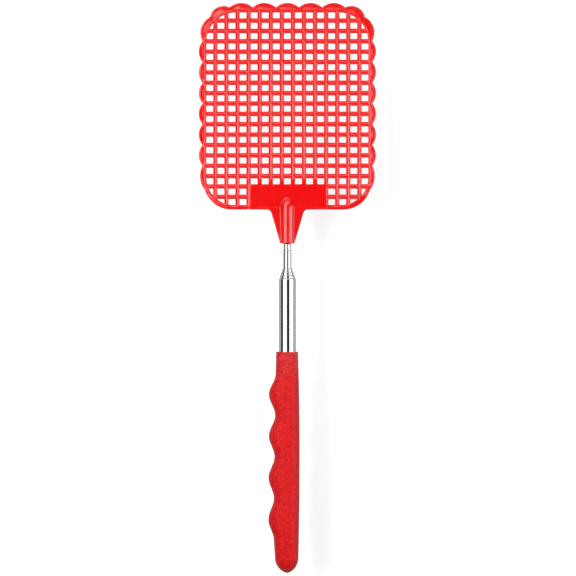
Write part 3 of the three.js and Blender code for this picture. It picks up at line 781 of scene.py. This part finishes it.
# ---- Materials ----
class Look:
    """A material's node tree, with short ways to add what the looks below need."""

    def __init__(self, name):
        self.material = bpy.data.materials.new(name)
        self.material.use_nodes = True
        self.tree = self.material.node_tree
        self.shader = self.tree.nodes["Principled BSDF"]
        self.place = self.add("ShaderNodeTexCoord").outputs["Object"]

    def add(self, kind, operation=None):
        """A new node, set to an operation where it has a choice of them."""
        node = self.tree.nodes.new(kind)
        if operation:
            node.operation = operation
        return node

    def link(self, output, socket):
        """Leads one node's output to another's socket."""
        self.tree.links.new(output, socket)

    def set(self, **values):
        """Sets the shader's plain values, with _ for each space in a socket's name."""
        for name, value in values.items():
            self.shader.inputs[name.replace("_", " ")].default_value = value

    def noise(self, size, detail=3.0, stretch=(1, 1, 1)):
        """Noise with features of a size in millimetres, longer along the axes stretched."""
        mapping = self.add("ShaderNodeMapping")
        mapping.inputs["Scale"].default_value = [1 / (size * MM * s) for s in stretch]
        self.link(self.place, mapping.inputs["Vector"])
        texture = self.add("ShaderNodeTexNoise")
        texture.inputs["Scale"].default_value = 1
        texture.inputs["Detail"].default_value = detail
        self.link(mapping.outputs["Vector"], texture.inputs["Vector"])
        return texture.outputs["Fac"]

    def cells(self, size):
        """Distance to the nearest cell edge of a Voronoi pattern."""
        texture = self.add("ShaderNodeTexVoronoi")
        texture.feature = "DISTANCE_TO_EDGE"
        texture.inputs["Scale"].default_value = 1 / (size * MM)
        self.link(self.place, texture.inputs["Vector"])
        return texture.outputs["Distance"]

    def spread(self, value, low, high, from_low=0.3, from_high=0.7):
        """A value spread between low and high."""
        mapped = self.add("ShaderNodeMapRange")
        self.link(value, mapped.inputs["Value"])
        for name, number in (("From Min", from_low), ("From Max", from_high),
                             ("To Min", low), ("To Max", high)):
            mapped.inputs[name].default_value = number
        return mapped.outputs["Result"]

    def mix(self, factor, first, second):
        """A colour between two colours."""
        mixed = self.add("ShaderNodeMix")
        mixed.data_type = "RGBA"
        self.link(factor, mixed.inputs["Factor"])
        mixed.inputs["A"].default_value = (*first, 1)
        mixed.inputs["B"].default_value = (*second, 1)
        return mixed.outputs["Result"]

    def bump(self, height, depth, strength=1.0, under=None):
        """Bump of a depth in millimetres, over another bump if there is one."""
        bumped = self.add("ShaderNodeBump")
        bumped.inputs["Strength"].default_value = strength
        bumped.inputs["Distance"].default_value = depth * MM
        self.link(height, bumped.inputs["Height"])
        if under is not None:
            self.link(under, bumped.inputs["Normal"])
        return bumped.outputs["Normal"]

    def use(self, socket, output):
        """Leads an output to one of the shader's own sockets."""
        self.link(output, self.shader.inputs[socket])


def head_plastic():
    """Glossy translucent red polypropylene, a little uneven from moulding."""
    look = Look("head_plastic")
    look.set(IOR=1.5, Specular_IOR_Level=1.0, Subsurface_Weight=0.4, Subsurface_Scale=0.003)
    look.shader.inputs["Subsurface Radius"].default_value = (1.0, 0.03, 0.03)
    patches = look.noise(9, 2)
    look.use("Base Color", look.mix(look.spread(patches, 0, 1), (0.62, 0.0004, 0.0008),
                                    (0.56, 0.0003, 0.0006)))
    look.use("Roughness", look.spread(look.noise(2.2, 4), 0.1, 0.17))
    ripple = look.bump(look.noise(3.5, 2, (1, 3, 1)), 0.012)
    look.use("Normal", look.bump(look.noise(0.35, 3), 0.002, under=ripple))
    return look.material


def grip_rubber():
    """Soft red rubber with a fine leathery grain, paler in places and shinier near the mouth."""
    look = Look("grip_rubber")
    look.set(IOR=1.5)
    along = look.add("ShaderNodeSeparateXYZ")
    look.link(look.place, along.inputs["Vector"])
    shiny_part = ((GRIP_MOUTH - 15) * MM, (GRIP_MOUTH - 3) * MM)
    look.use("Specular IOR Level", look.spread(along.outputs["Y"], 0.22, 0.5, *shiny_part))
    grain = look.cells(0.62)
    mottle = look.noise(1.3, 5)
    look.use("Base Color", look.mix(look.spread(mottle, 0, 1), (0.36, 0.002, 0.003),
                                    (0.58, 0.006, 0.008)))
    roughness = look.add("ShaderNodeMath", "SUBTRACT")
    look.link(look.spread(look.noise(0.9, 4), 0.36, 0.5), roughness.inputs[0])
    look.link(look.spread(along.outputs["Y"], 0, 0.14, *shiny_part), roughness.inputs[1])
    look.use("Roughness", roughness.outputs["Value"])
    coarse = look.bump(look.noise(1.1, 4), 0.16)
    fine = look.bump(look.spread(grain, 0, 1, 0, 0.22), 0.035, under=coarse)
    look.use("Normal", look.bump(look.noise(0.16, 3), 0.01, under=fine))
    return look.material


def steel(name, colour, roughness, draw_size, draw_depth):
    """Drawn metal, with fine lines along the shaft."""
    look = Look(name)
    look.set(Metallic=1.0)
    lines = look.noise(draw_size, 3, (1, 260, 1))
    smudge = look.noise(6, 3)
    look.use("Base Color", look.mix(look.spread(smudge, 0, 1), colour,
                                    tuple(channel * 0.93 for channel in colour)))
    look.use("Roughness", look.spread(lines, roughness * 0.75, roughness * 1.4))
    look.use("Normal", look.bump(lines, draw_depth))
    return look.material


def turned_metal(name, colour, roughness, pitch):
    """Metal with fine lathe lines round the shaft's axis."""
    look = Look(name)
    look.set(Metallic=1.0)
    rings = look.noise(pitch, 2, (200, 1, 200))
    look.use("Base Color", look.mix(look.spread(look.noise(2, 3), 0, 1), colour,
                                    tuple(channel * 0.85 for channel in colour)))
    look.use("Roughness", look.spread(rings, roughness * 0.8, roughness * 1.3))
    look.use("Normal", look.bump(rings, 0.01))
    return look.material


def nylon():
    """Black moulded nylon."""
    look = Look("plug_nylon")
    look.set(IOR=1.53)
    look.use("Base Color", look.mix(look.noise(1.5, 3), (0.02, 0.02, 0.022), (0.04, 0.04, 0.043)))
    look.use("Roughness", look.spread(look.noise(0.8, 3), 0.4, 0.58))
    look.use("Normal", look.bump(look.noise(0.3, 3), 0.01))
    return look.material


def give(piece, material):
    """Puts one material on the whole of a piece."""
    piece.data.materials.clear()
    piece.data.materials.append(material)


def stand_in(piece, node, body, material):
    """Puts a detailed piece in a CAD node's place."""
    give(piece, material)
    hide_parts(node)
    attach(piece, body)


# ---- The object ----
STEEL_COLOUR, BRASS_COLOUR = (0.64, 0.64, 0.65), (0.76, 0.56, 0.25)
tube_steel = steel("polished_steel", STEEL_COLOUR, 0.07, 0.12, 0.0015)
spigot_steel = turned_metal("turned_steel", (0.68, 0.68, 0.69), 0.16, 0.12)
brass = turned_metal("spring_brass", BRASS_COLOUR, 0.25, 0.15)
TUBE_BODIES = ["handle", "second_stage", "third_stage", "fourth_stage", "head_stage"]

stand_in(head(), "swat_head", "head_stage", head_plastic())
stand_in(spigot(), "head_spigot", "head_stage", spigot_steel)
for number, body in enumerate(TUBE_BODIES):
    stand_in(tube(number), TUBES[number], body, tube_steel)
stand_in(grip(), "grip", "handle", grip_rubber())
for node, carried in frame["nodes"].items():
    if "shim" in node or "bush" in node:
        carried.material_slots[0].material = brass
    elif node == "base_plug":
        carried.material_slots[0].material = nylon()


# ---- Floor, light and camera ----
FLOOR_CLEARANCE = 2.5  # under the head where it has turned on edge
FLOOR_REACH = 4000
# Light that the floor gives the eye alone, so that it looks white but glares on nothing: less of it
# under the swatter, where the lamps reach, in metres from the middle.
FLOOR_LIFT, FAR_FLOOR_LIFT = 0.6, 1.0
LIT_REACH, FAR_REACH = 0.25, 0.9
DARK = 0.05  # how bright the room is between its pale walls


def floor():
    """A level pale floor, low enough for the head to turn through a full circle above it."""
    height = AXIS_HEIGHT - HEAD_SIDE - FLOOR_CLEARANCE
    corners = [(x * FLOOR_REACH, y * FLOOR_REACH, height) for x, y in ((-1, -1), (1, -1), (1, 1), (-1, 1))]
    made = mesh_object("floor", corners, [(0, 1, 2, 3)])
    look = Look("floor_paint")
    look.set(Roughness=0.8, IOR=1.2)
    look.shader.inputs["Emission Color"].default_value = (1, 1, 1, 1)
    look.use("Base Color", look.mix(look.noise(60, 3), (0.42, 0.42, 0.42), (0.4, 0.4, 0.4)))
    away = look.add("ShaderNodeVectorMath", "LENGTH")
    look.link(look.place, away.inputs[0])
    lift = look.spread(away.outputs["Value"], FLOOR_LIFT, FAR_FLOOR_LIFT, LIT_REACH, FAR_REACH)
    seen = look.add("ShaderNodeMath", "MULTIPLY")
    look.link(look.add("ShaderNodeLightPath").outputs["Is Camera Ray"], seen.inputs[0])
    look.link(lift, seen.inputs[1])
    look.use("Emission Strength", seen.outputs["Value"])
    give(made, look.material)


def softbox(name, towards, tilt, aim_y, wide, tall, radiance, mirrored=True, distance=0.5):
    """A soft light that shines on the middle line at aim_y, in metres, tilted by degrees from
    straight up towards a level direction. Gloss mirrors it unless mirrored is off."""
    aim = Vector((0, aim_y, AXIS_HEIGHT * MM))
    lean = math.radians(tilt)
    beam = Vector((towards[0] * math.sin(lean), towards[1] * math.sin(lean), math.cos(lean)))
    light = bpy.data.lights.new(name, "AREA")
    light.shape = "RECTANGLE"
    light.size, light.size_y = wide, tall
    light.energy = radiance * math.pi * wide * tall
    made = bpy.data.objects.new(name, light)
    made.location = aim + beam * distance
    made.rotation_euler = (-beam).to_track_quat("-Z", "Y").to_euler()
    made.visible_camera = False
    made.visible_glossy = mirrored
    bpy.context.scene.collection.objects.link(made)


def world():
    """A dark room with a pale wall towards +X and grey ones towards both ends of the swatter,
    white to the camera."""
    made = bpy.data.worlds.new("studio")
    bpy.context.scene.world = made
    made.use_nodes = True
    tree = made.node_tree

    def add(kind, operation=None):
        node = tree.nodes.new(kind)
        if operation:
            node.operation = operation
        return node

    def wall(cosine, near, strength):
        """The brightness of a wall that fades in from near to straight ahead."""
        ramp = add("ShaderNodeMapRange")
        ramp.interpolation_type = "SMOOTHSTEP"
        tree.links.new(cosine, ramp.inputs["Value"])
        for name, number in (("From Min", near), ("From Max", 1.0),
                             ("To Min", DARK), ("To Max", strength)):
            ramp.inputs[name].default_value = number
        return ramp.outputs["Result"]

    direction = add("ShaderNodeTexCoord").outputs["Generated"]
    parts = add("ShaderNodeSeparateXYZ")
    tree.links.new(direction, parts.inputs["Vector"])
    endways = add("ShaderNodeMath", "ABSOLUTE")
    tree.links.new(parts.outputs["Y"], endways.inputs[0])
    brighter = add("ShaderNodeMath", "MAXIMUM")
    side_wall = wall(parts.outputs["X"], near=0.8, strength=0.95)
    end_walls = wall(endways.outputs["Value"], near=0.4, strength=0.5)
    tree.links.new(side_wall, brighter.inputs[0])
    tree.links.new(end_walls, brighter.inputs[1])
    around = tree.nodes["Background"]
    tree.links.new(brighter.outputs["Value"], around.inputs["Color"])
    seen = add("ShaderNodeBackground")
    seen.inputs["Color"].default_value = (1, 1, 1, 1)
    path = add("ShaderNodeLightPath")
    mixed = add("ShaderNodeMixShader")
    tree.links.new(path.outputs["Is Camera Ray"], mixed.inputs["Fac"])
    tree.links.new(around.outputs["Background"], mixed.inputs[1])
    tree.links.new(seen.outputs["Background"], mixed.inputs[2])
    tree.links.new(mixed.outputs["Shader"], tree.nodes["World Output"].inputs["Surface"])


def camera():
    """Straight above, with the whole swatter just inside the square view."""
    data = bpy.data.cameras.new("camera")
    distance, margin, shift = 1.3, 1.0101, 0.0003
    framed = (HEAD_TIP - GRIP_LOW[1]) * MM * margin
    data.sensor_width = 36
    data.lens = data.sensor_width * distance / framed
    made = bpy.data.objects.new("camera", data)
    made.location = (shift, 0, AXIS_HEIGHT * MM + distance)
    bpy.context.scene.collection.objects.link(made)
    bpy.context.scene.camera = made


floor()
world()
LEFT, RIGHT, HEADWARDS = (-1, 0), (1, 0), (0, 1)
softbox("left_softbox", LEFT, tilt=34, aim_y=0.26, wide=0.78, tall=0.46, radiance=2.2)
softbox("right_softbox", RIGHT, tilt=53, aim_y=0.03, wide=0.26, tall=0.46, radiance=2.2)
softbox("top_softbox", HEADWARDS, tilt=50, aim_y=0.12, wide=0.5, tall=0.2, radiance=1.3)
softbox("key", LEFT, tilt=21, aim_y=0.03, wide=0.24, tall=0.16, radiance=48, mirrored=False, distance=1)
softbox("overhead_fill", HEADWARDS, tilt=0, aim_y=0, wide=1.0, tall=1.0, radiance=0.3, mirrored=False)
softbox("grip_fill", RIGHT, tilt=55, aim_y=-0.08, wide=0.4, tall=0.3, radiance=2.0, mirrored=False)
camera()
bpy.context.scene.view_settings.view_transform = "Standard"
